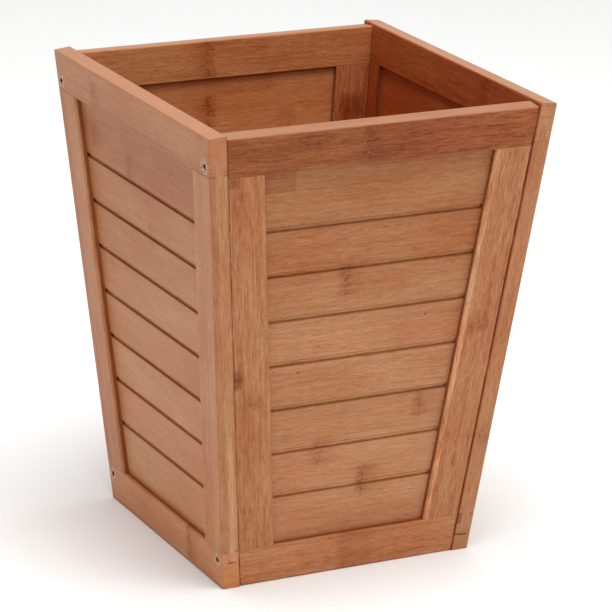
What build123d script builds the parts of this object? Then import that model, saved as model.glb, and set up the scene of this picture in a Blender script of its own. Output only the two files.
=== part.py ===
from build123d import *
from collections import namedtuple
from math import atan, cos, sin, tan
import os

# A square wastebasket that widens towards the top. Each of its four leaning walls is a bamboo frame
# of two rails and two stiles around one grooved panel. The left and right walls cover the ends of
# the front and back walls and are nailed to them. A bottom board sits in a groove in the bottom rails.
#
# Millimetres. +X is right, +Y is back and +Z is up. The origin is the middle of the footprint, on the
# floor. The front wall faces -Y.

# Whole basket
height = 305.0  # floor to the outer top edge of the left and right walls
bottom_width = 177.0  # over the outer faces of the left and right walls
top_width = 240.0
bottom_depth = 172.0  # over the end faces of the left and right walls
top_depth = 235.0
wall_thickness = 12.0
rim_step = 1.4  # the front and back walls end this far below the left and right walls
end_reveal = 0.8  # the left and right walls stand this far proud of the front and back walls

# Frame members and panels
rail_width = 25.4
stile_width = 25.4
panel_thickness = 5.0
panel_recess = 4.2  # from the outer face of the frame to the panel
slot_depth = 8.4  # of the slot round the inside of the frame, which holds tongues and panel
panel_gap = 0.6  # room for the panel to swell in the bottom of the slot
groove_count = 7
groove_pitch = 30.4
groove_width = 2.8
groove_depth = 1.9
side_lowest_groove = 60.3  # from the lower end of a left or right wall, measured up the slope
end_lowest_groove = 58.3  # from the lower end of a front or back wall

# Bottom board
board_thickness = 5.0
board_height = 9.0  # from the floor to the underside of the board
board_inset = 4.0  # how far the board enters the bottom rails

# Nails
nail_radius = 0.8
nail_head_radius = 1.3
nail_head_thickness = 1.2
nail_length = 27.0
nail_sink = 0.8  # the head lies this far below the surface
nail_point = 2.5  # length of the tapered tip
nail_to_end = 19.0  # from the upper or lower end of the wall to the nail

# Rounded edges
edge_radius = 1.2
step_radius = 0.4  # along the small step where a side wall meets an end wall
lip_radius = 2.0  # of the stiles, beside the panel
seam_radius = 0.3  # along the seams between rails and stiles, and along the rails beside the panel

side_lean = atan((top_width - bottom_width) / 2 / height)
front_lean = atan((top_depth - bottom_depth) / 2 / height)
slot_floor = panel_recess + panel_thickness
overshoot = 60.0  # rough blocks reach this far past the planes that trim them
whole_width = -overshoot  # an inset that reaches past both ends of a wall
near = 0.01  # tolerance for finding edges


def leaning_face(x, y, half_size, lean):
    """An outer face of the basket, facing x, y. Its own x runs along the wall and y up the slope."""
    return Plane(
        origin=(x * half_size, y * half_size, 0),
        x_dir=(-y, x, 0),
        z_dir=(x * cos(lean), y * cos(lean), -sin(lean)),
    )


floor = Plane(origin=(0, 0, 0), z_dir=(0, 0, -1))
left_face = leaning_face(-1, 0, bottom_width / 2, side_lean)
right_face = leaning_face(1, 0, bottom_width / 2, side_lean)
front_face = leaning_face(0, -1, bottom_depth / 2, front_lean)
back_face = leaning_face(0, 1, bottom_depth / 2, front_lean)

# face: the outer face of the wall
# length: from the lower end of the wall to its upper end, up the slope
# half_width, spread: half of the width at the lower end, and its growth per mm up the slope
# lowest_groove: from the lower end of the wall to the middle of the panel's lowest groove
# trims: the planes that cut the wall's two ends
Wall = namedtuple("Wall", "face length half_width spread lowest_groove trims")


def side_wall(face):
    return Wall(
        face=face,
        length=height / cos(side_lean),
        half_width=bottom_depth / 2,
        spread=cos(side_lean) * tan(front_lean),
        lowest_groove=side_lowest_groove,
        trims=(front_face, back_face),
    )


def end_wall(face):
    return Wall(
        face=face.offset(-end_reveal),
        length=(height - rim_step - end_reveal * sin(front_lean)) / cos(front_lean),
        half_width=bottom_width / 2 - wall_thickness / cos(side_lean),
        spread=cos(front_lean) * tan(side_lean),
        lowest_groove=end_lowest_groove,
        trims=(left_face.offset(-wall_thickness), right_face.offset(-wall_thickness)),
    )


def block(wall, low, high, inset, top, bottom):
    """A piece of a wall from low to high up its slope and from top to bottom below its outer face.
    At each end it is shorter than the wall by inset."""
    half_low = wall.half_width + wall.spread * low - inset
    half_high = wall.half_width + wall.spread * high - inset
    outline = Polyline(
        (-half_low, low),
        (half_low, low),
        (half_high, high),
        (-half_high, high),
        close=True,
    )
    return wall.face * Pos(0, 0, -bottom) * extrude(make_face(outline), bottom - top)


def trimmed(solid, planes):
    """The solid without what lies in front of the planes."""
    for plane in planes:
        solid = split(solid, bisect_by=plane, keep=Keep.BOTTOM)
    return solid


def edges_at(solid, wall, depth, low, high):
    """Edges at one depth below the outer face, with their middle between low and high."""
    found = []
    for edge in solid.edges():
        middle = wall.face.to_local_coords(edge.center())
        if abs(middle.Z + depth) < near and low < middle.Y < high:
            found.append(edge)
    return found


def envelope(wall, is_side):
    """The outer shape of the whole wall, from which its rails and stiles are cut. The edges beside
    the step between a side wall and an end wall are rounded less than the others."""
    rough = block(wall, -overshoot, wall.length, whole_width, 0, wall_thickness)
    body = trimmed(rough, wall.trims + (floor,))
    end = wall.length
    outer = edges_at(body, wall, 0, -1, end + 1)
    upright = edges_at(body, wall, 0, rail_width, end - rail_width)
    rim = edges_at(body, wall, wall_thickness, end - 1, end + 1)
    if is_side:
        body = fillet(outer + rim, edge_radius)
        beside_step = edges_at(body, wall, wall_thickness, rail_width, end - rail_width)
    else:
        level = [edge for edge in outer if edge not in upright]
        body = fillet(level + rim, edge_radius)
        beside_step = edges_at(body, wall, 0, rail_width, end - rail_width)
    return fillet(beside_step, step_radius)


def frame_blank(wall, body, low, high):
    """The wall from low to high, through its whole thickness."""
    return body & block(wall, low, high, whole_width, -1, wall_thickness + 1)


def eased_at(solid, wall, seam):
    """The solid with its edges in both faces of the wall rounded where they lie along a seam."""
    edges = edges_at(solid, wall, 0, seam - near, seam + near)
    edges += edges_at(solid, wall, wall_thickness, seam - near, seam + near)
    return fillet(edges, seam_radius)


def make_rails(wall, body):
    """The top and bottom rail, each slotted along its inner edge for the tongues and the panel."""
    low_seam = rail_width
    high_seam = wall.length - rail_width
    bottom = frame_blank(wall, body, -overshoot, low_seam)
    bottom -= block(wall, low_seam - slot_depth, low_seam + 1, whole_width, panel_recess, slot_floor)
    top = frame_blank(wall, body, high_seam, wall.length + overshoot)
    top -= block(wall, high_seam - 1, high_seam + slot_depth, whole_width, panel_recess, slot_floor)
    return eased_at(top, wall, high_seam), eased_at(bottom, wall, low_seam)


def make_stiles(wall, body):
    """Both stiles, with a tongue at each end in the rails' slots and a slot of their own."""
    low_seam = rail_width
    high_seam = wall.length - rail_width
    low_slot = low_seam - slot_depth
    high_slot = high_seam + slot_depth
    pair = frame_blank(wall, body, low_seam, high_seam)
    pair += body & block(wall, low_slot, high_slot, whole_width, panel_recess, slot_floor)
    pair -= block(wall, low_slot - 1, high_slot + 1, stile_width, -1, wall_thickness + 1)
    pair -= block(wall, low_slot - 1, high_slot + 1, stile_width - slot_depth, panel_recess, slot_floor)
    eased = []
    for edge in edges_at(pair, wall, 0, low_seam + 1, high_seam - 1):
        middle = wall.face.to_local_coords(edge.center())
        opening = wall.half_width + wall.spread * middle.Y - stile_width
        if abs(abs(middle.X) - opening) < near:
            eased.append(edge)
    pair = fillet(eased, lip_radius)
    return eased_at(eased_at(pair, wall, low_seam), wall, high_seam)


def make_panel(wall):
    """The panel, one board with grooves milled across its outer face."""
    low = rail_width - slot_depth + panel_gap
    high = wall.length - low
    inset = stile_width - slot_depth + panel_gap
    panel = block(wall, low, high, inset, panel_recess, slot_floor)
    for number in range(groove_count):
        middle = wall.lowest_groove + number * groove_pitch
        start = middle - groove_width / 2
        panel -= block(wall, start, start + groove_width, 0, panel_recess - 1, panel_recess + groove_depth)
    return panel


def make_bottom_board():
    """A level board that enters the bottom rails by board_inset all round."""
    inner_width = bottom_width + 2 * (board_height * tan(side_lean) - wall_thickness / cos(side_lean))
    inner_depth = bottom_depth + 2 * (board_height * tan(front_lean) - wall_thickness / cos(front_lean))
    inner_depth -= 2 * end_reveal / cos(front_lean)
    board = Box(inner_width + 2 * board_inset, inner_depth + 2 * board_inset, board_thickness)
    return Pos(0, 0, board_height + board_thickness / 2) * board


def make_nail():
    """A nail driven along -Z. Its head lies nail_sink below the origin."""
    from_top = (Align.CENTER, Align.CENTER, Align.MAX)
    shank_length = nail_length - nail_point
    nail = Cylinder(nail_head_radius, nail_head_thickness, align=from_top)
    nail += Cylinder(nail_radius, shank_length, align=from_top)
    tip = Cone(nail_radius, nail_radius / 4, nail_point, align=from_top)
    nail += Pos(0, 0, -shank_length) * Rot(180, 0, 0) * Pos(0, 0, nail_point) * tip
    return Pos(0, 0, -nail_sink) * nail


def make_nail_hole():
    """The space that a nail takes up, open to the surface above its head."""
    from_top = (Align.CENTER, Align.CENTER, Align.MAX)
    return make_nail() + Cylinder(nail_head_radius, nail_sink, align=from_top)


def nail_places(wall):
    """Four places on a side wall, over the ends of the front and back rails."""
    places = []
    for up in (nail_to_end, wall.length - nail_to_end):
        along = wall.half_width + wall.spread * up - end_reveal - wall_thickness / 2
        for side in (-1, 1):
            places.append(wall.face * Pos(side * along, up, 0))
    return places


walls = {
    "left": side_wall(left_face),
    "right": side_wall(right_face),
    "front": end_wall(front_face),
    "back": end_wall(back_face),
}
frame_nodes = {}
nodes = {}
for name, wall in walls.items():
    is_side = name in ("left", "right")
    body = envelope(wall, is_side)
    top, bottom = make_rails(wall, body)
    frame_nodes[f"{name}_wall_top_rail"] = top
    frame_nodes[f"{name}_wall_bottom_rail"] = bottom
    ends = ("front", "back") if is_side else ("left", "right")
    stiles = make_stiles(wall, body).solids().sort_by(Axis.Y if is_side else Axis.X)
    for end, stile in zip(ends, stiles):
        frame_nodes[f"{name}_wall_{end}_stile"] = stile
    nodes[f"{name}_wall_panel"] = make_panel(wall)

board = make_bottom_board()
for name in walls:
    frame_nodes[f"{name}_wall_bottom_rail"] -= board
nodes["bottom_board"] = board

for side in ("left", "right"):
    places = nail_places(walls[side])
    nodes[f"{side}_nails"] = Compound([place * make_nail() for place in places])
    for place in places:
        hole = place * make_nail_hole()
        reach = hole.bounding_box()
        for name, piece in frame_nodes.items():
            if reach.overlaps(piece.bounding_box()):
                frame_nodes[name] = piece - hole

nodes.update(frame_nodes)
os.makedirs("parts", exist_ok=True)
for name, shape in nodes.items():
    export_step(shape, f"parts/{name}.step")
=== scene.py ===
from math import atan2, cos, radians, sin, tan

import bpy
from mathutils import Matrix, Vector


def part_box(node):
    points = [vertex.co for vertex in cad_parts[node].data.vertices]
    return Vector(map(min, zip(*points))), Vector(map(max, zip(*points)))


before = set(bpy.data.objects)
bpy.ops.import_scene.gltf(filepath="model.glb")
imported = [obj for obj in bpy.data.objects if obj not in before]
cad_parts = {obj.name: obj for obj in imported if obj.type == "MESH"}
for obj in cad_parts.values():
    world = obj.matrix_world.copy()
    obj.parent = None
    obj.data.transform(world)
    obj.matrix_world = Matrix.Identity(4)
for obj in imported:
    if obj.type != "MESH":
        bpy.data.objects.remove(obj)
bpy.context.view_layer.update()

# A tapered bamboo wastebasket of four frame-and-panel walls, on a pale studio floor.
# The walls are named left, right, front and back. Sizes are in metres, and in millimetres inside the
# materials, where a board's grain is laid out.

MM = 1000.0  # millimetres in a metre
UP = Vector((0, 0, 1))
WALLS = {  # the level direction that each wall faces
    "left": Vector((-1, 0, 0)),
    "right": Vector((1, 0, 0)),
    "front": Vector((0, -1, 0)),
    "back": Vector((0, 1, 0)),
}

# ---------------------------------------------------------------- the basket's slopes, from the frame


def middle(node):
    """The middle of a node's box."""
    low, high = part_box(node)
    return (low + high) / 2


def outward_reach(node, direction):
    """How far a node's box reaches from the basket's axis along a wall's direction."""
    low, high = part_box(node)
    corner = Vector(max(a * d, b * d) for a, b, d in zip(low, high, direction))
    return corner.length


def wall_lean(wall):
    """The wall's lean from the vertical, from the reach of its top and bottom rail."""
    direction = WALLS[wall]
    top, bottom = f"{wall}_wall_top_rail", f"{wall}_wall_bottom_rail"
    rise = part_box(top)[1].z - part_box(bottom)[1].z
    return atan2(outward_reach(top, direction) - outward_reach(bottom, direction), rise)


LEAN = {wall: wall_lean(wall) for wall in WALLS}


def wall_of(node):
    """The name of the wall that a board belongs to."""
    return node.split("_wall_")[0]


def corners(node):
    """A board's corners, from the middle of its box."""
    centre = middle(node)
    return [vertex.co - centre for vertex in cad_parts[node].data.vertices]


def wall_normal(wall):
    """The direction straight out of a wall's sloping face."""
    return (WALLS[wall] * cos(LEAN[wall]) - UP * sin(LEAN[wall])).normalized()


def level_along(wall):
    """The level direction along a wall, with its outer side to the right of it."""
    return WALLS[wall].cross(UP) * -1


def up_slope(wall):
    """The direction up a wall's sloping face."""
    return wall_normal(wall).cross(level_along(wall)).normalized()


# ---------------------------------------------------------------- node tree helpers


def add(tree, kind, inputs=None, **settings):
    """Adds a shader node. inputs maps a socket's name or number to a value or to another node's socket."""
    node = tree.nodes.new("ShaderNode" + kind)
    for name, value in settings.items():
        setattr(node, name, value)
    for name, value in (inputs or {}).items():
        if isinstance(value, bpy.types.NodeSocket):
            tree.links.new(value, node.inputs[name])
        else:
            node.inputs[name].default_value = value
    return node


def maths(tree, operation, a, b=0.0, c=None):
    inputs = {0: a, 1: b}
    if c is not None:
        inputs[2] = c
    return add(tree, "Math", inputs, operation=operation).outputs[0]


def vectors(tree, operation, a, b=None):
    inputs = {0: a}
    if b is not None:
        inputs[1] = b
    node = add(tree, "VectorMath", inputs, operation=operation)
    return node.outputs["Value" if operation == "DOT_PRODUCT" else "Vector"]


def scaled(tree, vector, factors):
    return vectors(tree, "MULTIPLY", vector, factors)


def fade(tree, value, start, end, low=0.0, high=1.0):
    """A smooth step from low at start to high at end."""
    inputs = {"Value": value, "From Min": start, "From Max": end, "To Min": low, "To Max": high}
    return add(tree, "MapRange", inputs, interpolation_type="SMOOTHSTEP").outputs["Result"]


def noise(tree, vector, detail=3.0, roughness=0.55, distortion=0.0):
    inputs = {
        "Vector": vector,
        "Scale": 1.0,
        "Detail": detail,
        "Roughness": roughness,
        "Distortion": distortion,
    }
    return add(tree, "TexNoise", inputs).outputs["Fac"]


def blended(tree, amount, a, b, mode="MIX"):
    """Blends two colours. An amount below 0 or above 1 goes past that colour."""
    inputs = {0: amount, 6: a, 7: b}
    node = add(tree, "Mix", inputs, data_type="RGBA", blend_type=mode, clamp_factor=False)
    return node.outputs[2]


def new_group(name, inputs, outputs):
    """A shader node group. inputs maps a socket's name to its kind and default, outputs to its kind."""
    group = bpy.data.node_groups.new(name, "ShaderNodeTree")
    for label, (kind, default) in inputs.items():
        socket = group.interface.new_socket(label, in_out="INPUT", socket_type="NodeSocket" + kind)
        socket.default_value = default
    for label, kind in outputs.items():
        group.interface.new_socket(label, in_out="OUTPUT", socket_type="NodeSocket" + kind)
    source = group.nodes.new("NodeGroupInput").outputs
    sink = group.nodes.new("NodeGroupOutput").inputs
    return group, source, sink


def place(tree, group, inputs):
    """Places a node group in a tree, with its own values."""
    return add(tree, "Group", inputs, node_tree=group).outputs


# ---------------------------------------------------------------- effects shared by the bamboo pieces

# A Place is in millimetres from the middle of one board: X along it, Y across it and Z out of it. Only the
# reaches of the painted crevice shade and the width of the rubbed, highlighted edges are in metres.
NO_EDGE = 999.0  # further out than any board, for an edge that a board doesn't have
STRIP_WIDTH = 24.5  # of the strips that most boards are glued from
GROOVE_COUNT = 7  # of the grooves cut across each panel
GROOVE_WIDTH = 2.8
GROOVE_DEPTH = 1.9


def make_board_space():
    """Turns a point of the basket into millimetres along, across and out of one board, from its middle."""
    inputs = {
        "Position": ("Vector", (0, 0, 0)),
        "Middle": ("Vector", (0, 0, 0)),
        "Along": ("Vector", (1, 0, 0)),
        "Across": ("Vector", (0, 1, 0)),
    }
    group, given, out = new_group("board space", inputs, {"Place": "Vector"})
    offset = scaled(group, vectors(group, "SUBTRACT", given["Position"], given["Middle"]), (MM, MM, MM))
    outwards = vectors(group, "CROSS_PRODUCT", given["Along"], given["Across"])
    parts = {
        "X": vectors(group, "DOT_PRODUCT", offset, given["Along"]),
        "Y": vectors(group, "DOT_PRODUCT", offset, given["Across"]),
        "Z": vectors(group, "DOT_PRODUCT", offset, outwards),
    }
    group.links.new(add(group, "CombineXYZ", parts).outputs[0], out["Place"])
    return group


def make_knuckle():
    """The mark that a joint of the cane leaves across a strip: dark spots along a jagged line, in a band of
    short dark and pale strokes, with a soft shade to one side."""
    inputs = {"Place": ("Vector", (0, 0, 0)), "Away": ("Float", 0.0), "Reach": ("Float", 1.0)}
    group, given, out = new_group("bamboo knuckle", inputs, {"Dark": "Float", "Pale": "Float"})
    jags = noise(group, scaled(group, given["Place"], (0.08, 0.36, 0.36)), detail=3.0)
    strokes = noise(group, scaled(group, given["Place"], (0.40, 0.85, 0.85)), detail=2.0)
    blobs = noise(group, scaled(group, given["Place"], (0.10, 0.20, 0.20)), detail=1.0)
    bent = maths(group, "MULTIPLY_ADD", maths(group, "SUBTRACT", jags, 0.5), 8.0, given["Away"])
    off_line = maths(group, "ABSOLUTE", bent)
    line = fade(group, off_line, 0.3, 2.2, 1.0, 0.0)
    line = maths(group, "MULTIPLY", line, fade(group, blobs, 0.36, 0.62))
    near = fade(group, off_line, 1.5, 7.5, 1.0, 0.0)
    band = maths(group, "MULTIPLY", near, fade(group, strokes, 0.40, 0.60, 0.75, 0.25))
    shade = maths(group, "MULTIPLY", fade(group, bent, 0.0, 16.0, 0.40, 0.0), fade(group, bent, -3.0, 0.0))
    torn = maths(group, "MULTIPLY", near, fade(group, strokes, 0.56, 0.70, 0.0, 0.8))
    dark = maths(group, "MAXIMUM", maths(group, "MAXIMUM", line, band), shade)
    group.links.new(maths(group, "MULTIPLY", dark, given["Reach"]), out["Dark"])
    group.links.new(maths(group, "MULTIPLY", torn, given["Reach"]), out["Pale"])
    return group


def make_placed_knuckle(knuckle):
    """A knuckle at a given place on a board."""
    inputs = {
        "Place": ("Vector", (0, 0, 0)),
        "Along": ("Float", 0.0),
        "Across": ("Float", 0.0),
        "Half Height": ("Float", 9.0),
        "Strength": ("Float", 1.0),
    }
    group, given, out = new_group("placed knuckle", inputs, {"Dark": "Float", "Pale": "Float"})
    axes = add(group, "SeparateXYZ", {0: given["Place"]}).outputs
    off_middle = maths(group, "ABSOLUTE", maths(group, "SUBTRACT", axes["Y"], given["Across"]))
    share = maths(group, "DIVIDE", off_middle, given["Half Height"])
    mark = place(group, knuckle, {
        "Place": given["Place"],
        "Away": maths(group, "SUBTRACT", axes["X"], given["Along"]),
        "Reach": maths(group, "MULTIPLY", fade(group, share, 0.7, 1.15, 1.0, 0.0), given["Strength"]),
    })
    group.links.new(mark["Dark"], out["Dark"])
    group.links.new(mark["Pale"], out["Pale"])
    return group


def make_strips(knuckle):
    """The strips that a board is glued from: a tone for each, the glue lines between them, and knuckles
    at each strip's own places."""
    inputs = {
        "Place": ("Vector", (0, 0, 0)),
        "Seed": ("Float", 0.0),
        "Strip Width": ("Float", STRIP_WIDTH),
        "First Edge": ("Float", 0.0),
        "Knuckle Spacing": ("Float", 190.0),
        "Knuckle Share": ("Float", 0.6),
    }
    outputs = {"Tone": "Float", "Glue Line": "Float", "Dark": "Float", "Pale": "Float"}
    group, given, out = new_group("bamboo strips", inputs, outputs)
    axes = add(group, "SeparateXYZ", {0: given["Place"]}).outputs
    from_edge = maths(group, "SUBTRACT", axes["Y"], given["First Edge"])
    strips = maths(group, "DIVIDE", from_edge, given["Strip Width"])
    strip = maths(group, "FLOOR", strips)
    in_strip = maths(group, "SUBTRACT", strips, strip)
    near_edge = maths(group, "MINIMUM", in_strip, maths(group, "SUBTRACT", 1.0, in_strip))
    to_edge = maths(group, "MULTIPLY", near_edge, given["Strip Width"])
    own_number = maths(group, "MULTIPLY_ADD", given["Seed"], 31.7, strip)
    own = add(group, "TexWhiteNoise", {"W": own_number}, noise_dimensions="1D").outputs
    own_values = add(group, "SeparateColor", {0: own["Color"]}).outputs

    cells = maths(group, "DIVIDE", axes["X"], given["Knuckle Spacing"])
    cells = maths(group, "MULTIPLY_ADD", own_values["Green"], 9.0, cells)
    cell = maths(group, "FLOOR", cells)
    luck_number = maths(group, "MULTIPLY_ADD", cell, 5.3, own_number)
    luck = add(group, "TexWhiteNoise", {"W": luck_number}, noise_dimensions="1D").outputs
    luck_values = add(group, "SeparateColor", {0: luck["Color"]}).outputs
    spot = maths(group, "MULTIPLY_ADD", luck_values["Red"], 0.5, 0.25)
    in_cell = maths(group, "SUBTRACT", maths(group, "SUBTRACT", cells, cell), spot)
    present = maths(group, "LESS_THAN", luck_values["Green"], given["Knuckle Share"])
    strength = maths(group, "MULTIPLY", present, maths(group, "MULTIPLY_ADD", luck_values["Blue"], 0.6, 0.4))
    inside_strip = fade(group, to_edge, 0.0, 1.5)
    mark = place(group, knuckle, {
        "Place": given["Place"],
        "Away": maths(group, "MULTIPLY", in_cell, given["Knuckle Spacing"]),
        "Reach": maths(group, "MULTIPLY", strength, inside_strip),
    })
    group.links.new(own["Value"], out["Tone"])
    group.links.new(fade(group, to_edge, 0.05, 0.4, 1.0, 0.0), out["Glue Line"])
    group.links.new(mark["Dark"], out["Dark"])
    group.links.new(mark["Pale"], out["Pale"])
    return group


def make_fibre():
    """Bamboo fibre, stretched along the board: broad streaks, fibres, short dark flecks and a slow drift
    of tone. On an end face the same fibres show as dots."""
    inputs = {"Place": ("Vector", (0, 0, 0))}
    outputs = {"Streaks": "Float", "Fibres": "Float", "Fine": "Float", "Flecks": "Float", "Drift": "Float"}
    group, given, out = new_group("bamboo fibre", inputs, outputs)
    axes = add(group, "SeparateXYZ", {0: given["Place"]}).outputs
    sway = noise(group, scaled(group, given["Place"], (0.006, 0.02, 0.02)), detail=1.0)
    swayed = add(group, "CombineXYZ", {
        "X": axes["X"],
        "Y": maths(group, "MULTIPLY_ADD", sway, 6.0, axes["Y"]),
        "Z": axes["Z"],
    }).outputs[0]
    streaks = noise(group, scaled(group, swayed, (0.022, 0.34, 0.34)), detail=2.0, roughness=0.6)
    fibres = noise(group, scaled(group, swayed, (0.11, 1.05, 1.05)), detail=2.0, roughness=0.65)
    fine = noise(group, scaled(group, swayed, (0.30, 2.4, 2.4)), detail=2.0, roughness=0.65)
    flecks = noise(group, scaled(group, swayed, (0.14, 1.5, 1.5)), detail=1.0)
    drift = noise(group, scaled(group, given["Place"], (0.011, 0.028, 0.028)), detail=2.0)
    group.links.new(streaks, out["Streaks"])
    group.links.new(fibres, out["Fibres"])
    group.links.new(fine, out["Fine"])
    group.links.new(fade(group, flecks, 0.60, 0.72), out["Flecks"])
    group.links.new(drift, out["Drift"])
    return group


def make_patch():
    """A box of one board tinted apart from the rest, with slightly ragged sides."""
    inputs = {
        "Place": ("Vector", (0, 0, 0)),
        "Low": ("Vector", (-10, -10, -10)),
        "High": ("Vector", (10, 10, 10)),
        "Softness": ("Float", 1.0),
    }
    group, given, out = new_group("tint patch", inputs, {"Mask": "Float"})
    ragged = noise(group, scaled(group, given["Place"], (0.05, 0.5, 0.5)), detail=2.0)
    slip = maths(group, "MULTIPLY", maths(group, "SUBTRACT", ragged, 0.5), given["Softness"])
    shift = add(group, "CombineXYZ", {"X": slip, "Y": slip}).outputs[0]
    moved = vectors(group, "ADD", given["Place"], shift)
    axes = add(group, "SeparateXYZ", {0: moved}).outputs
    lows = add(group, "SeparateXYZ", {0: given["Low"]}).outputs
    highs = add(group, "SeparateXYZ", {0: given["High"]}).outputs
    inside = None
    for axis in ("X", "Y", "Z"):
        over_low = maths(group, "SUBTRACT", axes[axis], lows[axis])
        over_low = maths(group, "DIVIDE", over_low, given["Softness"])
        under_high = maths(group, "SUBTRACT", highs[axis], axes[axis])
        under_high = maths(group, "DIVIDE", under_high, given["Softness"])
        depth = maths(group, "MINIMUM", over_low, under_high)
        inside = depth if inside is None else maths(group, "MINIMUM", inside, depth)
    group.links.new(fade(group, inside, -0.5, 0.5), out["Mask"])
    return group


def make_nail_scar():
    """Fibres torn up round a sunk nail: pale chips and dark splits, and the dark pocket over the head,
    painted as shade.
    """
    inputs = {"Place": ("Vector", (0, 0, 0)), "Along": ("Float", 0.0), "Across": ("Float", 0.0)}
    group, given, out = new_group("nail scar", inputs, {"Pale": "Float", "Dark": "Float"})
    centre = add(group, "CombineXYZ", {"X": given["Along"], "Y": given["Across"]}).outputs[0]
    offset = scaled(group, vectors(group, "SUBTRACT", given["Place"], centre), (1, 1, 0))
    away = add(group, "VectorMath", {0: offset}, operation="LENGTH").outputs["Value"]
    chips = noise(group, scaled(group, given["Place"], (0.35, 0.85, 0.5)), detail=3.0, roughness=0.7)
    splits = noise(group, scaled(group, given["Place"], (0.45, 1.3, 0.7)), detail=2.0, distortion=0.6)
    ring = fade(group, away, 3.5, 7.0, 1.0, 0.0)
    pale = maths(group, "MULTIPLY", ring, fade(group, chips, 0.46, 0.54))
    dark = maths(group, "MULTIPLY", ring, fade(group, splits, 0.58, 0.63))
    # the pocket over the head, painted dark as shade
    pocket = fade(group, away, 1.6, 2.1, 1.0, 0.0)
    group.links.new(pale, out["Pale"])
    group.links.new(maths(group, "MAXIMUM", dark, pocket), out["Dark"])
    return group


def make_torn_edge():
    """The stained, slightly ragged edges of the grooves cut across a panel, with the lowest one's place and
    the pitch between them."""
    inputs = {
        "Place": ("Vector", (0, 0, 0)),
        "First": ("Float", 0.0),
        "Pitch": ("Float", 30.0),
        "Last Number": ("Float", GROOVE_COUNT - 1.0),
        "Half Width": ("Float", GROOVE_WIDTH / 2),
    }
    group, given, out = new_group("torn groove edge", inputs, {"Mask": "Float"})
    height = add(group, "SeparateXYZ", {0: given["Place"]}).outputs["Y"]
    row = maths(group, "SUBTRACT", height, given["First"])
    row = maths(group, "DIVIDE", row, given["Pitch"])
    nearest = maths(group, "MINIMUM", maths(group, "ROUND", row), given["Last Number"])
    nearest = maths(group, "MAXIMUM", nearest, 0.0)
    rows_away = maths(group, "ABSOLUTE", maths(group, "SUBTRACT", row, nearest))
    away = maths(group, "MULTIPLY", rows_away, given["Pitch"])
    past = maths(group, "SUBTRACT", away, given["Half Width"])
    ragged = noise(group, scaled(group, given["Place"], (0.5, 0.5, 0.5)), detail=2.0)
    past = maths(group, "MULTIPLY_ADD", maths(group, "SUBTRACT", ragged, 0.5), 0.9, past)
    group.links.new(fade(group, past, 0.70, 0.35), out["Mask"])
    return group


def make_seam():
    """The dark hairline where a board butts against the next wall: a painted shadow of the gap there, with
    stain gathered in it. Towards points at that wall.
    """
    inputs = {"Place": ("Vector", (0, 0, 0)), "Towards": ("Vector", (1, 0, 0)), "Edge": ("Float", 0.0)}
    group, given, out = new_group("seam", inputs, {"Mask": "Float"})
    reached = vectors(group, "DOT_PRODUCT", given["Place"], given["Towards"])
    near = maths(group, "SUBTRACT", reached, given["Edge"])
    uneven = noise(group, scaled(group, given["Place"], (0.06, 0.06, 0.06)), detail=2.0)
    line = fade(group, near, -1.2, -0.6)
    line = maths(group, "MULTIPLY", line, fade(group, uneven, 0.3, 0.55))
    group.links.new(line, out["Mask"])
    return group


def make_painted_crevice_shade():
    """Painted shade where boards meet, darker where a spot is more hidden: in corners, in seams, and darkest
    in deep holes.
    """
    inputs = {"Corner Reach": ("Float", 0.0016), "Hole Reach": ("Float", 0.0035)}
    group, given, out = new_group("painted crevice shade", inputs, {"Corner": "Float", "Hole": "Float"})
    corner_sky = add(group, "AmbientOcclusion", {"Distance": given["Corner Reach"]}, samples=6).outputs["AO"]
    open_sky = add(group, "AmbientOcclusion", {"Distance": given["Hole Reach"]}, samples=6).outputs["AO"]
    group.links.new(fade(group, corner_sky, 0.35, 0.85, 1.0, 0.0), out["Corner"])
    group.links.new(fade(group, open_sky, 0.08, 0.20, 1.0, 0.0), out["Hole"])
    return group


def make_wear_and_highlight():
    """Handled edges, rubbed paler than the faces beside them, and painted paler still as a highlight."""
    inputs = {"Place": ("Vector", (0, 0, 0)), "Width": ("Float", 0.0022)}
    group, given, out = new_group("edge wear and painted highlight", inputs, {"Mask": "Float"})
    rounded = add(group, "Bevel", {"Radius": given["Width"]}, samples=4).outputs[0]
    true_normal = add(group, "NewGeometry").outputs["True Normal"]
    turn = vectors(group, "DOT_PRODUCT", rounded, true_normal)
    rubbed = noise(group, scaled(group, given["Place"], (0.04, 0.15, 0.15)), detail=3.0)
    edge = fade(group, turn, 0.82, 0.995, 1.0, 0.0)
    edge = maths(group, "MULTIPLY", edge, fade(group, rubbed, 0.3, 0.6, 0.35, 1.0))
    group.links.new(edge, out["Mask"])
    return group


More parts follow.
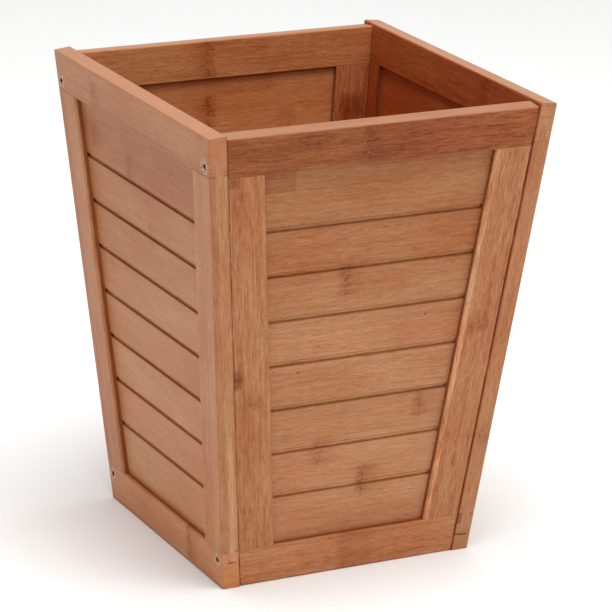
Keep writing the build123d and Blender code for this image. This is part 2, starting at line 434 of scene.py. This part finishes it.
def make_frame_edges():
    """The edges of a rail or stile, whose outer face lies 6 mm out: the lip beside the panel, painted darker
    as shade, the pale rounding between that lip and the outer face, a painted highlight, and the top of
    the rim, painted darker as shade."""
    inputs = {
        "Place": ("Vector", (0, 0, 0)),
        "Opening Side": ("Float", 1.0),
        "Opening Edge": ("Float", NO_EDGE),
        "Rim Height": ("Float", NO_EDGE),
        "Lip Shade": ("Float", 1.0),
        "Lip Highlight": ("Float", 1.0),
    }
    outputs = {"Lip": "Float", "Rounding": "Float", "Rim": "Float"}
    group, given, out = new_group("frame edges", inputs, outputs)
    axes = add(group, "SeparateXYZ", {0: given["Place"]}).outputs
    towards = maths(group, "MULTIPLY", axes["Y"], given["Opening Side"])
    past_edge = maths(group, "SUBTRACT", towards, given["Opening Edge"])
    # the lip beside the panel, painted darker as shade
    lip = maths(group, "MULTIPLY", fade(group, past_edge, -0.8, -0.2), fade(group, axes["Z"], 4.8, 3.6))
    lip = maths(group, "MULTIPLY", lip, given["Lip Shade"])
    patchy = noise(group, scaled(group, given["Place"], (0.03, 0.12, 0.12)), detail=3.0)
    # the rounding beside the lip, painted paler as a highlight
    rounding = maths(group, "MULTIPLY", fade(group, past_edge, -3.8, -2.4), fade(group, axes["Z"], 3.9, 4.6))
    rounding = maths(group, "MULTIPLY", rounding, given["Lip Highlight"])
    # the top of the rim, painted darker as shade
    past_rim = maths(group, "SUBTRACT", axes["Y"], given["Rim Height"])
    rim = fade(group, past_rim, -1.0, -0.2)
    rim = maths(group, "MULTIPLY", rim, fade(group, patchy, 0.3, 0.6, 0.7, 1.0))
    rounding = maths(group, "MULTIPLY", rounding, fade(group, patchy, 0.3, 0.6, 0.5, 1.0))
    group.links.new(lip, out["Lip"])
    group.links.new(rounding, out["Rounding"])
    group.links.new(rim, out["Rim"])
    return group


def make_figure(strips, fibre, crevice, wear, frame_edges):
    """The finished look of stained bamboo: its colour, its sheen and the height of its fibres."""
    inputs = {
        "Place": ("Vector", (0, 0, 0)),
        "Seed": ("Float", 0.0),
        "Light": ("Color", (0.5, 0.25, 0.12, 1)),
        "Dark": ("Color", (0.3, 0.12, 0.05, 1)),
        "Strip Width": ("Float", STRIP_WIDTH),
        "First Edge": ("Float", 0.0),
        "Strip Contrast": ("Float", 1.0),
        "Knuckle Share": ("Float", 0.5),
        "Grain": ("Float", 1.0),
        "Painted Floor Light": ("Float", 0.0),
        "Marks Dark": ("Float", 0.0),
        "Marks Pale": ("Float", 0.0),
        "Scar Splits And Pocket Shade": ("Float", 0.0),
        "Scar Pale": ("Float", 0.0),
        "Tint": ("Color", (1, 1, 1, 1)),
        "Opening Side": ("Float", 1.0),
        "Opening Edge": ("Float", NO_EDGE),
        "Rim Height": ("Float", NO_EDGE),
        "Lip Shade": ("Float", 1.0),
        "Lip Highlight": ("Float", 1.0),
        "Cut": ("Float", 0.0),
        "Groove Floor Light": ("Float", 0.0),
        "Torn Edge": ("Float", 0.0),
        "Seam": ("Float", 0.0),
        "Inside": ("Float", 0.0),
        "Inside Light And Shade": ("Color", (1, 1, 1, 1)),
    }
    outputs = {"Colour": "Color", "Roughness": "Float", "Height": "Float"}
    group, given, out = new_group("stained bamboo", inputs, outputs)
    seeds = add(group, "CombineXYZ", {"X": given["Seed"], "Y": given["Seed"], "Z": given["Seed"]}).outputs[0]
    moved = vectors(group, "ADD", given["Place"], scaled(group, seeds, (137.0, 71.0, 53.0)))
    grain = place(group, fibre, {"Place": moved})
    strip_inputs = ("Place", "Seed", "Strip Width", "First Edge", "Knuckle Share")
    board = place(group, strips, {name: given[name] for name in strip_inputs})

    def centred(value, weight):
        return maths(group, "MULTIPLY", maths(group, "SUBTRACT", value, 0.5), weight)

    lines = maths(group, "ADD", centred(grain["Streaks"], 0.65), centred(grain["Fibres"], 1.0))
    lines = maths(group, "ADD", lines, centred(grain["Fine"], 0.8))
    level = maths(group, "MULTIPLY_ADD", lines, given["Grain"], 0.5)
    strip_tone = maths(group, "MULTIPLY", centred(board["Tone"], 0.34), given["Strip Contrast"])
    level = maths(group, "ADD", level, strip_tone)
    level = maths(group, "ADD", level, centred(grain["Drift"], 0.9))
    # the board is painted paler down the wall, as light bounced up from the floor
    height_up = add(group, "SeparateXYZ", {0: given["Place"]}).outputs["Y"]
    level = maths(group, "SUBTRACT", level, maths(group, "MULTIPLY", height_up, given["Painted Floor Light"]))
    colour = blended(group, level, given["Dark"], given["Light"])
    colour = blended(group, 1.0, colour, given["Tint"], "MULTIPLY")
    drift = fade(group, grain["Drift"], 0.35, 0.65)
    warmth = blended(group, drift, (1.02, 0.97, 0.96, 1), (0.985, 1.03, 1.02, 1))
    colour = blended(group, 1.0, colour, warmth, "MULTIPLY")

    dark_marks = maths(group, "MAXIMUM", board["Dark"], given["Marks Dark"])
    pale_marks = maths(group, "MAXIMUM", board["Pale"], given["Marks Pale"])
    wear_and_highlight = place(group, wear, {"Place": moved})["Mask"]
    hidden_shade = place(group, crevice, {})
    edge_inputs = ("Place", "Opening Side", "Opening Edge", "Rim Height", "Lip Shade", "Lip Highlight")
    edges = place(group, frame_edges, {name: given[name] for name in edge_inputs})
    layers = (  # mask, strength, tint and blend, from the lowest layer up
        (grain["Flecks"], 0.34, (0.55, 0.28, 0.12, 1), "MULTIPLY"),
        (board["Glue Line"], 0.20, (0.60, 0.36, 0.20, 1), "MULTIPLY"),
        (dark_marks, 1.0, (0.58, 0.30, 0.10, 1), "MULTIPLY"),
        (pale_marks, 0.35, (0.60, 0.30, 0.13, 1), "MIX"),
        # painted highlight on the rounding beside the panel
        (edges["Rounding"], 1.0, (1.16, 1.24, 1.36, 1), "MULTIPLY"),
        # painted shade on the lip beside the panel
        (edges["Lip"], 1.0, (0.42, 0.25, 0.15, 1), "MULTIPLY"),
        # stain in the grooves, with painted shade that darkens their lit walls
        (given["Cut"], 1.0, (0.78, 0.70, 0.62, 1), "MULTIPLY"),
        # painted light on the groove floors, against the shade there
        (given["Groove Floor Light"], 1.0, (2.0, 2.6, 3.0, 1), "MULTIPLY"),
        (given["Torn Edge"], 1.0, (0.56, 0.43, 0.33, 1), "MULTIPLY"),
        # rubbed edges, painted paler as a highlight too
        (wear_and_highlight, 0.30, (0.50, 0.26, 0.14, 1), "MIX"),
        # painted shade on the top of the rim
        (edges["Rim"], 0.85, (0.37, 0.168, 0.084, 1), "MIX"),
        # painted light and shade on the inner faces
        (given["Inside"], 1.0, given["Inside Light And Shade"], "MULTIPLY"),
        (given["Scar Pale"], 0.85, (0.70, 0.47, 0.32, 1), "MIX"),
        # dark splits round a nail, and painted shade in its pocket
        (given["Scar Splits And Pocket Shade"], 1.0, (0.20, 0.10, 0.06, 1), "MULTIPLY"),
        # painted shade in corners and seams, and below it in deep holes
        (hidden_shade["Corner"], 1.0, (0.90, 0.79, 0.69, 1), "MULTIPLY"),
        (hidden_shade["Hole"], 0.9, (0.25, 0.09, 0.05, 1), "MULTIPLY"),
        # painted shadow of the gap at a seam, with stain gathered in it
        (given["Seam"], 1.0, (0.26, 0.12, 0.07, 1), "MULTIPLY"),
    )
    for mask, strength, tint, mode in layers:
        colour = blended(group, maths(group, "MULTIPLY", mask, strength), colour, tint, mode)

    rough = maths(group, "MULTIPLY_ADD", grain["Fibres"], 0.14, 0.35)
    rough = maths(group, "MULTIPLY_ADD", dark_marks, 0.10, rough)
    rough = maths(group, "MULTIPLY_ADD", hidden_shade["Corner"], 0.15, rough)
    height = maths(group, "MULTIPLY_ADD", grain["Flecks"], -0.6, grain["Fibres"])
    height = maths(group, "MULTIPLY_ADD", grain["Fine"], 0.35, height)
    height = maths(group, "MULTIPLY_ADD", dark_marks, -0.7, height)
    height = maths(group, "MULTIPLY_ADD", pale_marks, 0.8, height)
    height = maths(group, "MULTIPLY_ADD", board["Glue Line"], -0.4, height)
    height = maths(group, "MULTIPLY_ADD", given["Scar Pale"], 1.5, height)
    height = maths(group, "MULTIPLY_ADD", given["Scar Splits And Pocket Shade"], -2.0, height)
    group.links.new(colour, out["Colour"])
    group.links.new(rough, out["Roughness"])
    group.links.new(height, out["Height"])
    return group


BOARD_SPACE = make_board_space()
KNUCKLE = make_knuckle()
PLACED_KNUCKLE = make_placed_knuckle(KNUCKLE)
PATCH = make_patch()
NAIL_SCAR = make_nail_scar()
SEAM = make_seam()
TORN_EDGE = make_torn_edge()
FIGURE = make_figure(make_strips(KNUCKLE), make_fibre(), make_painted_crevice_shade(), make_wear_and_highlight(), make_frame_edges())

# ---------------------------------------------------------------- the bamboo materials

HONEY = (0.565, 0.260, 0.124, 1)  # the stained bamboo's pale tone
UMBER = (0.355, 0.112, 0.026, 1)  # and its dark tone
PLAIN = (1, 1, 1)  # a tint that changes nothing
CLEAR_FINISH_IOR = 1.33
FIBRE_BUMP = 0.3
FIBRE_HEIGHT = 0.0003  # metres
RAIL_HALF_THICKNESS = 6.0  # of rails and stiles
PANEL_HALF_THICKNESS = 2.5  # of the panels and the bottom board


def strongest(tree, masks):
    """The highest of several masks, or nothing where there is none."""
    total = 0.0
    for mask in masks:
        total = mask if total == 0.0 else maths(tree, "MAXIMUM", total, mask)
    return total


def groove_masks(tree, spot, depth, grooves):
    """Where a panel's grooves are cut, for stain and painted shade; where their floors are, for painted
    light against their shade; and where the stain runs along their edges. grooves holds the lowest one's
    place and the pitch."""
    in_groove = fade(tree, depth, 0.0, 0.3)
    below_face = fade(tree, depth, PANEL_HALF_THICKNESS - 0.1, PANEL_HALF_THICKNESS - 0.3)
    cut = maths(tree, "MULTIPLY", in_groove, below_face)
    shallow, bottom = PANEL_HALF_THICKNESS - 0.4 * GROOVE_DEPTH, PANEL_HALF_THICKNESS - GROOVE_DEPTH
    deep = fade(tree, depth, shallow, bottom)
    groove_floor_light = maths(tree, "MULTIPLY", in_groove, deep)
    torn = place(tree, TORN_EDGE, {"Place": spot, **grooves})["Mask"]
    on_face = fade(tree, depth, PANEL_HALF_THICKNESS - 0.2, PANEL_HALF_THICKNESS - 0.05)
    return cut, groove_floor_light, maths(tree, "MULTIPLY", torn, on_face)


def bamboo(
    name, centre, along, across, seed,
    tone=PLAIN, grain=1.0, strip_width=STRIP_WIDTH, first_edge=0.0, strip_contrast=1.0, knuckle_share=0.5,
    painted_floor_light=0.0, knuckles=(), patches=(), nails=(), half_thickness=RAIL_HALF_THICKNESS, inside=PLAIN,
    opening=(1, NO_EDGE), rim=NO_EDGE, lip_shade=1.0, lip_highlight=0.0, seams=(), grooves=None,
):
    """A stained bamboo material for one board. Places on it are millimetres from its middle.

    tone multiplies both tones of the stain, and on the left wall's boards paints light on them too.
    painted_floor_light is how much paler the board is per mm down the wall, painted light from the floor.
    knuckles are (along, across, half height, strength). patches are (low corner, high corner, softness,
    tint). nails are (along, across). opening is the side that faces the panel and how far its edge lies
    from the middle. rim is the height of a top edge painted darker as shade. seams are (direction, edge).
    grooves says where those of a panel lie. inside paints light and shade on the inner face.
    """
    material = bpy.data.materials.new(name)
    material.use_nodes = True
    tree = material.node_tree
    tree.nodes.clear()
    position = add(tree, "TexCoord").outputs["Object"]
    board = {"Position": position, "Middle": centre, "Along": along, "Across": across}
    spot = place(tree, BOARD_SPACE, board)["Place"]

    dark_marks = []
    pale_marks = []
    for where, level, half, strength in knuckles:
        values = {"Place": spot, "Along": where, "Across": level, "Half Height": half, "Strength": strength}
        mark = place(tree, PLACED_KNUCKLE, values)
        dark_marks.append(mark["Dark"])
        pale_marks.append(mark["Pale"])
    scars = []
    for where, level in nails:
        scars.append(place(tree, NAIL_SCAR, {"Place": spot, "Along": where, "Across": level}))
    tint = PLAIN + (1,)
    for low, high, softness, own_tint in patches:
        values = {"Place": spot, "Low": low, "High": high, "Softness": softness}
        mask = place(tree, PATCH, values)["Mask"]
        tint = blended(tree, mask, tint, own_tint + (1,), "MULTIPLY")
    depth = add(tree, "SeparateXYZ", {0: spot}).outputs["Z"]
    hairlines = []
    for towards, edge in seams:
        hairlines.append(place(tree, SEAM, {"Place": spot, "Towards": towards, "Edge": edge})["Mask"])
    cut, groove_floor_light, torn_edge = groove_masks(tree, spot, depth, grooves) if grooves else (0.0, 0.0, 0.0)

    look = place(tree, FIGURE, {
        "Place": spot,
        "Seed": seed,
        "Light": tuple(a * b for a, b in zip(HONEY, tone + (1,))),
        "Dark": tuple(a * b for a, b in zip(UMBER, tone + (1,))),
        "Strip Width": strip_width,
        "First Edge": first_edge,
        "Strip Contrast": strip_contrast,
        "Knuckle Share": knuckle_share,
        "Grain": grain,
        "Painted Floor Light": painted_floor_light,
        "Marks Dark": strongest(tree, dark_marks),
        "Marks Pale": strongest(tree, pale_marks),
        "Scar Splits And Pocket Shade": strongest(tree, [scar["Dark"] for scar in scars]),
        "Scar Pale": strongest(tree, [scar["Pale"] for scar in scars]),
        "Tint": tint,
        "Opening Side": opening[0],
        "Opening Edge": opening[1],
        "Rim Height": rim,
        "Lip Shade": lip_shade,
        "Lip Highlight": lip_highlight,
        "Cut": cut,
        "Groove Floor Light": groove_floor_light,
        "Torn Edge": torn_edge,
        "Seam": strongest(tree, hairlines),
        # the inner face, for its painted light and shade
        "Inside": fade(tree, depth, 1.5 - half_thickness, 0.3 - half_thickness),
        "Inside Light And Shade": inside + (1,),
    })
    fibres = {"Height": look["Height"], "Strength": FIBRE_BUMP, "Distance": FIBRE_HEIGHT}
    bump = add(tree, "Bump", fibres)
    shader = add(tree, "BsdfPrincipled", {
        "Base Color": look["Colour"],
        "Roughness": look["Roughness"],
        "Normal": bump.outputs[0],
    })
    shader.inputs["IOR"].default_value = CLEAR_FINISH_IOR
    output = add(tree, "OutputMaterial")
    tree.links.new(shader.outputs[0], output.inputs["Surface"])
    return material


def assign(node, material):
    """Gives a node one material in every slot."""
    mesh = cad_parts[node].data
    if not mesh.materials:
        mesh.materials.append(material)
    for number in range(len(mesh.materials)):
        mesh.materials[number] = material


HEAD_LEVEL = 0.0001  # metres; a nail's corners within this of its outermost one are on its head


def nail_heads(wall, rail):
    """The nails of one rail of a side wall, in millimetres from the rail's middle."""
    along, across = level_along(wall), up_slope(wall)
    outwards = wall_normal(wall)
    points = [vertex.co.copy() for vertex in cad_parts[f"{wall}_nails"].data.vertices]
    half_height = sum(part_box(f"{wall}_nails"), Vector()).z / 2
    is_top = "top" in rail
    found = []
    for side in (-1, 1):
        own = [p for p in points if p.y * side > 0 and (p.z > half_height) == is_top]
        outermost = max(p.dot(outwards) for p in own)
        head = [p for p in own if p.dot(outwards) > outermost - HEAD_LEVEL]
        offset = (sum(head, Vector()) / len(head) - middle(rail)) * MM
        found.append((offset.dot(along), offset.dot(across)))
    return found


FAR = 400.0  # millimetres; past any edge of a board
LIP_DEPTH = 0.0035  # metres; how far the outer face of the rails and stiles stands above the panel
PLAIN_GRAIN = 1.0
STILE_GRAIN = 1.3
STILE_STRIP_WIDTH = 30.0  # wider than a stile, so that it has one glue line at most
STILE_STRIP_CONTRAST = 0.5
STEP_OF_EDGES = 7.0  # how far the strips are shifted from one board to the next

STAIN_AND_LIGHT_TONES = {  # boards that took the stain deeper or paler than the rest, and the left wall's boards painted paler as light
    "front_wall_top_rail": (0.60, 0.37, 0.18),
    "front_wall_left_stile": (0.96, 0.92, 0.86),
    "front_wall_right_stile": (0.96, 0.93, 0.88),
    "front_wall_bottom_rail": (1.06, 1.02, 0.96),
    "left_wall_top_rail": (1.02, 0.96, 0.90),
    "left_wall_bottom_rail": (1.24, 1.20, 1.10),
    "left_wall_front_stile": (1.14, 1.12, 1.06),
    "left_wall_back_stile": (1.10, 1.07, 1.05),
    "left_wall_panel": (1.12, 1.11, 1.09),
}
GRAINS = {  # how strongly the fibres show
    "front_wall_top_rail": 2.6,
    "front_wall_bottom_rail": 1.5,
    "front_wall_left_stile": 1.8,
    "front_wall_right_stile": 2.0,
    "front_wall_panel": 1.1,
    "left_wall_panel": 0.7,
    "back_wall_top_rail": 1.6,
    "right_wall_top_rail": 1.8,
    "back_wall_right_stile": 2.2,
}
WALL_INSIDE_LIGHT_AND_SHADE = {  # painted light and shade on each wall's inner face
    "left": (0.93, 0.67, 0.45),
    "right": (0.80, 0.41, 0.21),
    "front": (0.93, 0.67, 0.45),
    "back": (0.98, 0.87, 0.72),
}
BOARD_INSIDE_LIGHT_AND_SHADE = {  # the same, for boards that differ from their wall
    "right_wall_panel": (0.90, 0.47, 0.30),
    "back_wall_panel": (1.24, 1.17, 1.10),
    "back_wall_right_stile": (0.90, 0.64, 0.52),
}
STRIP_CONTRASTS = {"left_wall_panel": 0.2, "front_wall_panel": 0.6}  # how much a board's strips differ
PAINTED_FLOOR_LIGHT = {  # painted light: how much paler a board gets per mm down the wall, as light from the floor
    "left_wall_panel": 0.0022,
    "front_wall_panel": 0.0016,
    "right_wall_panel": 0.0016,
    "back_wall_panel": 0.0016,
}
LIP_HIGHLIGHTS = {  # how strongly the rounding beside the panel is painted with a highlight
    "front_wall_right_stile": 2.6,
    "front_wall_left_stile": 0.3,
    "left_wall_back_stile": 0.3,
}
FIRST_EDGES = {  # where one edge of the strips lies
    "front_wall_panel": 15.0,
    "front_wall_top_rail": 40.0,
    "left_wall_top_rail": 40.0,
}
KNUCKLE_SHARES = {  # share of a strip's places with a knuckle at random; none where they are all placed
    "front_wall_panel": 0.0,
    "front_wall_top_rail": 0.0,
    "front_wall_bottom_rail": 0.0,
    "front_wall_left_stile": 0.0,
    "front_wall_right_stile": 0.0,
    "left_wall_top_rail": 0.0,
    "left_wall_panel": 0.0,
    "left_wall_front_stile": 0.0,
    "left_wall_back_stile": 0.0,
    "back_wall_top_rail": 0.0,
    "back_wall_panel": 0.2,
}
KNUCKLES = {  # place along and across the board, half height and strength
    "front_wall_top_rail": ((-10.5, 0.0, 14.0, 0.75),),
    "front_wall_panel": (
        (-16.5, 48.0, 11.0, 0.9),
        (-25.8, -68.0, 10.0, 0.7),
        (7.7, -92.0, 11.0, 0.9),
        (44.4, -44.0, 9.5, 0.75),
    ),
    "front_wall_left_stile": ((-6.9, 9.1, 3.6, 1.0), (-25.3, -0.7, 9.5, 0.6)),
    "front_wall_right_stile": ((7.0, 1.2, 8.0, 0.8), (-109.0, 9.4, 1.5, 0.8)),
    "front_wall_bottom_rail": ((-5.0, 0.0, 14.0, 0.35), (15.0, 0.0, 14.0, 0.3)),
    "left_wall_top_rail": ((-57.4, -4.0, 11.0, 0.6),),
    "left_wall_panel": ((-71.3, 106.8, 9.0, 0.6), (-18.1, 96.8, 10.0, 0.65), (10.0, 60.0, 9.0, 0.4)),
    "back_wall_top_rail": ((15.4, 0.0, 14.0, 0.9),),
    "back_wall_panel": ((14.6, 102.5, 14.0, 1.0), (-29.5, 122.0, 6.0, 0.5)),
}
PATCHES = {  # low corner, high corner, softness and tint
    "front_wall_top_rail": (((50.0, -FAR, -FAR), (FAR, FAR, FAR), 60.0, (1.16, 1.28, 1.5)),),
    "front_wall_panel": (
        ((-FAR, 112.5, -FAR), (-56.6, FAR, FAR), 0.8, (0.86, 0.70, 0.52)),
        ((-56.6, 113.0, -FAR), (FAR, FAR, FAR), 0.8, (0.95, 0.92, 0.90)),
        ((-FAR, -9.5, -FAR), (FAR, 15.0, FAR), 0.8, (1.06, 1.08, 1.12)),
        ((41.6, 17.6, -FAR), (43.0, 19.4, FAR), 0.5, (0.5, 0.35, 0.3)),
        ((-45.3, -10.8, -FAR), (-44.1, -9.6, FAR), 0.5, (0.3, 0.2, 0.15)),
    ),
    "front_wall_bottom_rail": (((-5.0, -FAR, -FAR), (15.0, FAR, FAR), 9.0, (0.90, 0.83, 0.79)),),
    "front_wall_left_stile": (
        ((122.0, 5.0, -FAR), (FAR, 12.0, FAR), 4.0, (0.66, 0.48, 0.34)),
        ((-70.0, -11.0, -FAR), (-27.0, 12.0, FAR), 16.0, (0.94, 0.87, 0.78)),
        ((-13.0, 7.0, -FAR), (-1.0, FAR, FAR), 3.0, (0.72, 0.54, 0.38)),
    ),
    "left_wall_front_stile": (
        ((-FAR, -FAR, -FAR), (FAR, -11.0, FAR), 1.0, (0.88, 0.93, 1.02)),
        ((-FAR, -FAR, 1.5), (FAR, -11.0, FAR), 2.0, (0.90, 0.80, 0.76)),
        ((-FAR, -FAR, -3.4), (-46.0, -11.0, -0.4), 1.0, (1.15, 1.24, 1.36)),
        ((-136.0, -FAR, -3.5), (-134.6, -11.0, 3.5), 0.6, (0.45, 0.28, 0.18)),
    ),
    "right_wall_bottom_rail": (
        ((-FAR, 5.0, -7.0), (-86.0, 14.0, -1.8), 1.0, (0.64, 0.46, 0.34)),
        ((-FAR, -2.9, -7.0), (-86.0, -1.5, 3.0), 0.6, (0.45, 0.28, 0.18)),
    ),
    "back_wall_right_stile": (((60.0, -8.0, -FAR), (108.0, 8.0, -1.0), 8.0, (0.74, 0.52, 0.44)),),
}


def reach(node, direction):
    """How far a board reaches in a direction from the middle of its box, in millimetres."""
    return max(corner.dot(direction) for corner in corners(node)) * MM


def face_edge(node, direction):
    """How far the outer face of a rail or stile reaches in a direction, in millimetres."""
    outwards = wall_normal(wall_of(node))
    outermost = max(corner.dot(outwards) for corner in corners(node))
    face = [corner for corner in corners(node) if corner.dot(outwards) > outermost - LIP_DEPTH]
    return max(corner.dot(direction) for corner in face) * MM


def find_grooves(node, across):
    """Where a panel's grooves lie across it, from the corners of their floors."""
    outwards = wall_normal(wall_of(node))
    points = [corner * MM for corner in corners(node)]
    floor = max(point.dot(outwards) for point in points) - GROOVE_DEPTH
    slack = GROOVE_DEPTH / 4
    rows = [point.dot(across) for point in points if abs(point.dot(outwards) - floor) < slack]
    first, last = min(rows) + GROOVE_WIDTH / 2, max(rows) - GROOVE_WIDTH / 2
    return {"First": first, "Pitch": (last - first) / (GROOVE_COUNT - 1)}


def seam_edges(node, along, across):
    """The sides of a front board that butt against the side walls, and how far out they lie."""
    if "rail" in node:
        slope = tan(LEAN["left"])
        ends = [Vector((1, -slope, 0)).normalized(), Vector((-1, -slope, 0)).normalized()]
    elif "left" in node:
        ends = [Vector((0, 1, 0))]
    else:
        ends = [Vector((0, -1, 0))]
    return [(end, face_edge(node, along * end.x + across * end.y)) for end in ends]


def frame_settings(node, along, across):
    """What only a rail or stile has: its edge towards the panel, its rim and its seams."""
    wall = wall_of(node)
    side = 1.0 if (middle(f"{wall}_wall_panel") - middle(node)).dot(across) > 0 else -1.0
    settings = {
        "opening": (side, face_edge(node, across * side)),
        # the lips of bottom rails face up into the lamps, so they take the full painted shade
        "lip_shade": 1.0 if "bottom" in node else 0.75,
        # only stiles carry a painted highlight on their rounding
        "lip_highlight": LIP_HIGHLIGHTS.get(node, 0.5) if "stile" in node else 0.0,
    }
    if wall == "front":
        settings["seams"] = seam_edges(node, along, across)
    if "top_rail" in node:
        settings["rim"] = reach(node, across)
    return settings


def board_material(node, along, across, seed, grain=PLAIN_GRAIN, strip_contrast=1.0, **settings):
    """The material of one board of a wall, with what the tables above say about it."""
    if "panel" not in node:
        settings.update(frame_settings(node, along, across))
    return bamboo(
        node.replace("_", " ") + " bamboo", middle(node), along, across, seed,
        tone=STAIN_AND_LIGHT_TONES.get(node, PLAIN),
        grain=GRAINS.get(node, grain),
        first_edge=FIRST_EDGES.get(node, STEP_OF_EDGES * seed),
        strip_contrast=STRIP_CONTRASTS.get(node, strip_contrast),
        knuckle_share=KNUCKLE_SHARES.get(node, 0.5),
        painted_floor_light=PAINTED_FLOOR_LIGHT.get(node, 0.0),
        knuckles=KNUCKLES.get(node, ()),
        patches=PATCHES.get(node, ()),
        inside=BOARD_INSIDE_LIGHT_AND_SHADE.get(node, WALL_INSIDE_LIGHT_AND_SHADE[wall_of(node)]),
        **settings,
    )


def finish_walls():
    seed = 1.0
    for wall in WALLS:
        along, across = level_along(wall), up_slope(wall)
        is_side = wall in ("left", "right")
        for part in ("top_rail", "bottom_rail"):
            node = f"{wall}_wall_{part}"
            nails = nail_heads(wall, node) if is_side else ()
            assign(node, board_material(node, along, across, seed, nails=nails))
            seed += 1.0
        node = f"{wall}_wall_panel"
        grooves = find_grooves(node, across)
        assign(node, board_material(
            node, along, across, seed, half_thickness=PANEL_HALF_THICKNESS, grooves=grooves,
        ))
        seed += 1.0
        for side in (("front", "back") if is_side else ("left", "right")):
            node = f"{wall}_wall_{side}_stile"
            corner = (WALLS[wall] * sin(LEAN[wall]) + WALLS[side] * sin(LEAN[side]) + UP).normalized()
            across_stile = wall_normal(wall).cross(corner)
            assign(node, board_material(
                node, corner, across_stile, seed, grain=STILE_GRAIN, strip_width=STILE_STRIP_WIDTH,
                strip_contrast=STILE_STRIP_CONTRAST,
            ))
            seed += 1.0


def finish_bottom_board():
    node = "bottom_board"
    along, across = WALLS["right"], WALLS["back"]
    assign(node, bamboo(
        "bottom board bamboo", middle(node), along, across, seed=40.0, strip_width=20.0,
        half_thickness=PANEL_HALF_THICKNESS,
    ))


def finish_nails():
    material = bpy.data.materials.new("nail steel")
    material.use_nodes = True
    tree = material.node_tree
    tree.nodes.clear()
    position = add(tree, "TexCoord").outputs["Object"]
    stains = noise(tree, scaled(tree, position, (1600.0, 1600.0, 1600.0)), detail=3.0)
    colour = blended(tree, fade(tree, stains, 0.4, 0.65), (0.10, 0.075, 0.06, 1), (0.03, 0.015, 0.01, 1))
    shader = add(tree, "BsdfPrincipled", {
        "Base Color": colour,
        "Roughness": fade(tree, stains, 0.3, 0.7, 0.4, 0.75),
    })
    shader.inputs["Metallic"].default_value = 0.7
    output = add(tree, "OutputMaterial")
    tree.links.new(shader.outputs[0], output.inputs["Surface"])
    for side in ("left", "right"):
        assign(f"{side}_nails", material)


finish_walls()
finish_bottom_board()
finish_nails()

# ---------------------------------------------------------------- floor, light and camera

SURROUNDINGS = 0.38  # brightness of the white studio round the floor
FLOOR_HALF_SIZE = 6.0
LAMP_AIM = (0, 0, 0.15)  # the middle of the basket
SOFTBOXES = {  # each one's place and size in metres, and its power in watts
    "overhead softbox": ((0.0, -0.3, 2.8), 2.0, 84.0),
    "key softbox": ((0.9, -1.7, 2.3), 1.4, 12.0),
    "rim softbox": ((1.3, 2.6, 1.2), 1.4, 3.6),
}


def make_floor():
    size = FLOOR_HALF_SIZE
    floor_corners = [(-size, -size, 0), (size, -size, 0), (size, size, 0), (-size, size, 0)]
    mesh = bpy.data.meshes.new("studio floor")
    mesh.from_pydata(floor_corners, [], [(0, 1, 2, 3)])
    floor = bpy.data.objects.new("studio_floor", mesh)
    bpy.context.scene.collection.objects.link(floor)
    material = bpy.data.materials.new("pale studio paper")
    material.use_nodes = True
    tree = material.node_tree
    tree.nodes.clear()
    position = add(tree, "TexCoord").outputs["Object"]
    mottle = noise(tree, scaled(tree, position, (3.0, 3.0, 3.0)), detail=2.0)
    colour = blended(tree, mottle, (0.90, 0.90, 0.895, 1), (0.92, 0.92, 0.915, 1))
    shader = add(tree, "BsdfPrincipled", {"Base Color": colour, "Roughness": 0.9})
    output = add(tree, "OutputMaterial")
    tree.links.new(shader.outputs[0], output.inputs["Surface"])
    mesh.materials.append(material)


def make_softbox(name, location, size, power):
    lamp = bpy.data.lights.new(name, "AREA")
    lamp.shape = "SQUARE"
    lamp.size = size
    lamp.energy = power
    softbox = bpy.data.objects.new(name, lamp)
    softbox.location = location
    softbox.rotation_euler = (Vector(LAMP_AIM) - Vector(location)).to_track_quat("-Z", "Y").to_euler()
    bpy.context.scene.collection.objects.link(softbox)


def make_surroundings():
    world = bpy.data.worlds.new("studio")
    bpy.context.scene.world = world
    world.use_nodes = True
    background = world.node_tree.nodes["Background"]
    background.inputs["Color"].default_value = (1.0, 1.0, 1.0, 1)
    background.inputs["Strength"].default_value = SURROUNDINGS


def make_camera():
    """A long lens from the front left, looking down a little and rolled slightly."""
    azimuth, elevation, roll = radians(-27.45), radians(18.27), radians(1.74)
    distance = 2.1707
    aim = Vector((0.0070, -0.0041, 0.1513))
    data = bpy.data.cameras.new("camera")
    data.sensor_width = 36.0
    data.lens = 196.73
    camera = bpy.data.objects.new("camera", data)
    back = Vector((sin(azimuth) * cos(elevation), -cos(azimuth) * cos(elevation), sin(elevation)))
    turn = (-back).to_track_quat("-Z", "Y").to_matrix().to_4x4() @ Matrix.Rotation(roll, 4, "Z")
    camera.matrix_world = Matrix.Translation(aim + back * distance) @ turn
    bpy.context.scene.collection.objects.link(camera)
    bpy.context.scene.camera = camera


make_floor()
make_surroundings()
for name, (location, size, power) in SOFTBOXES.items():
    make_softbox(name, location, size, power)
make_camera()
bpy.context.scene.view_settings.view_transform = "Standard"
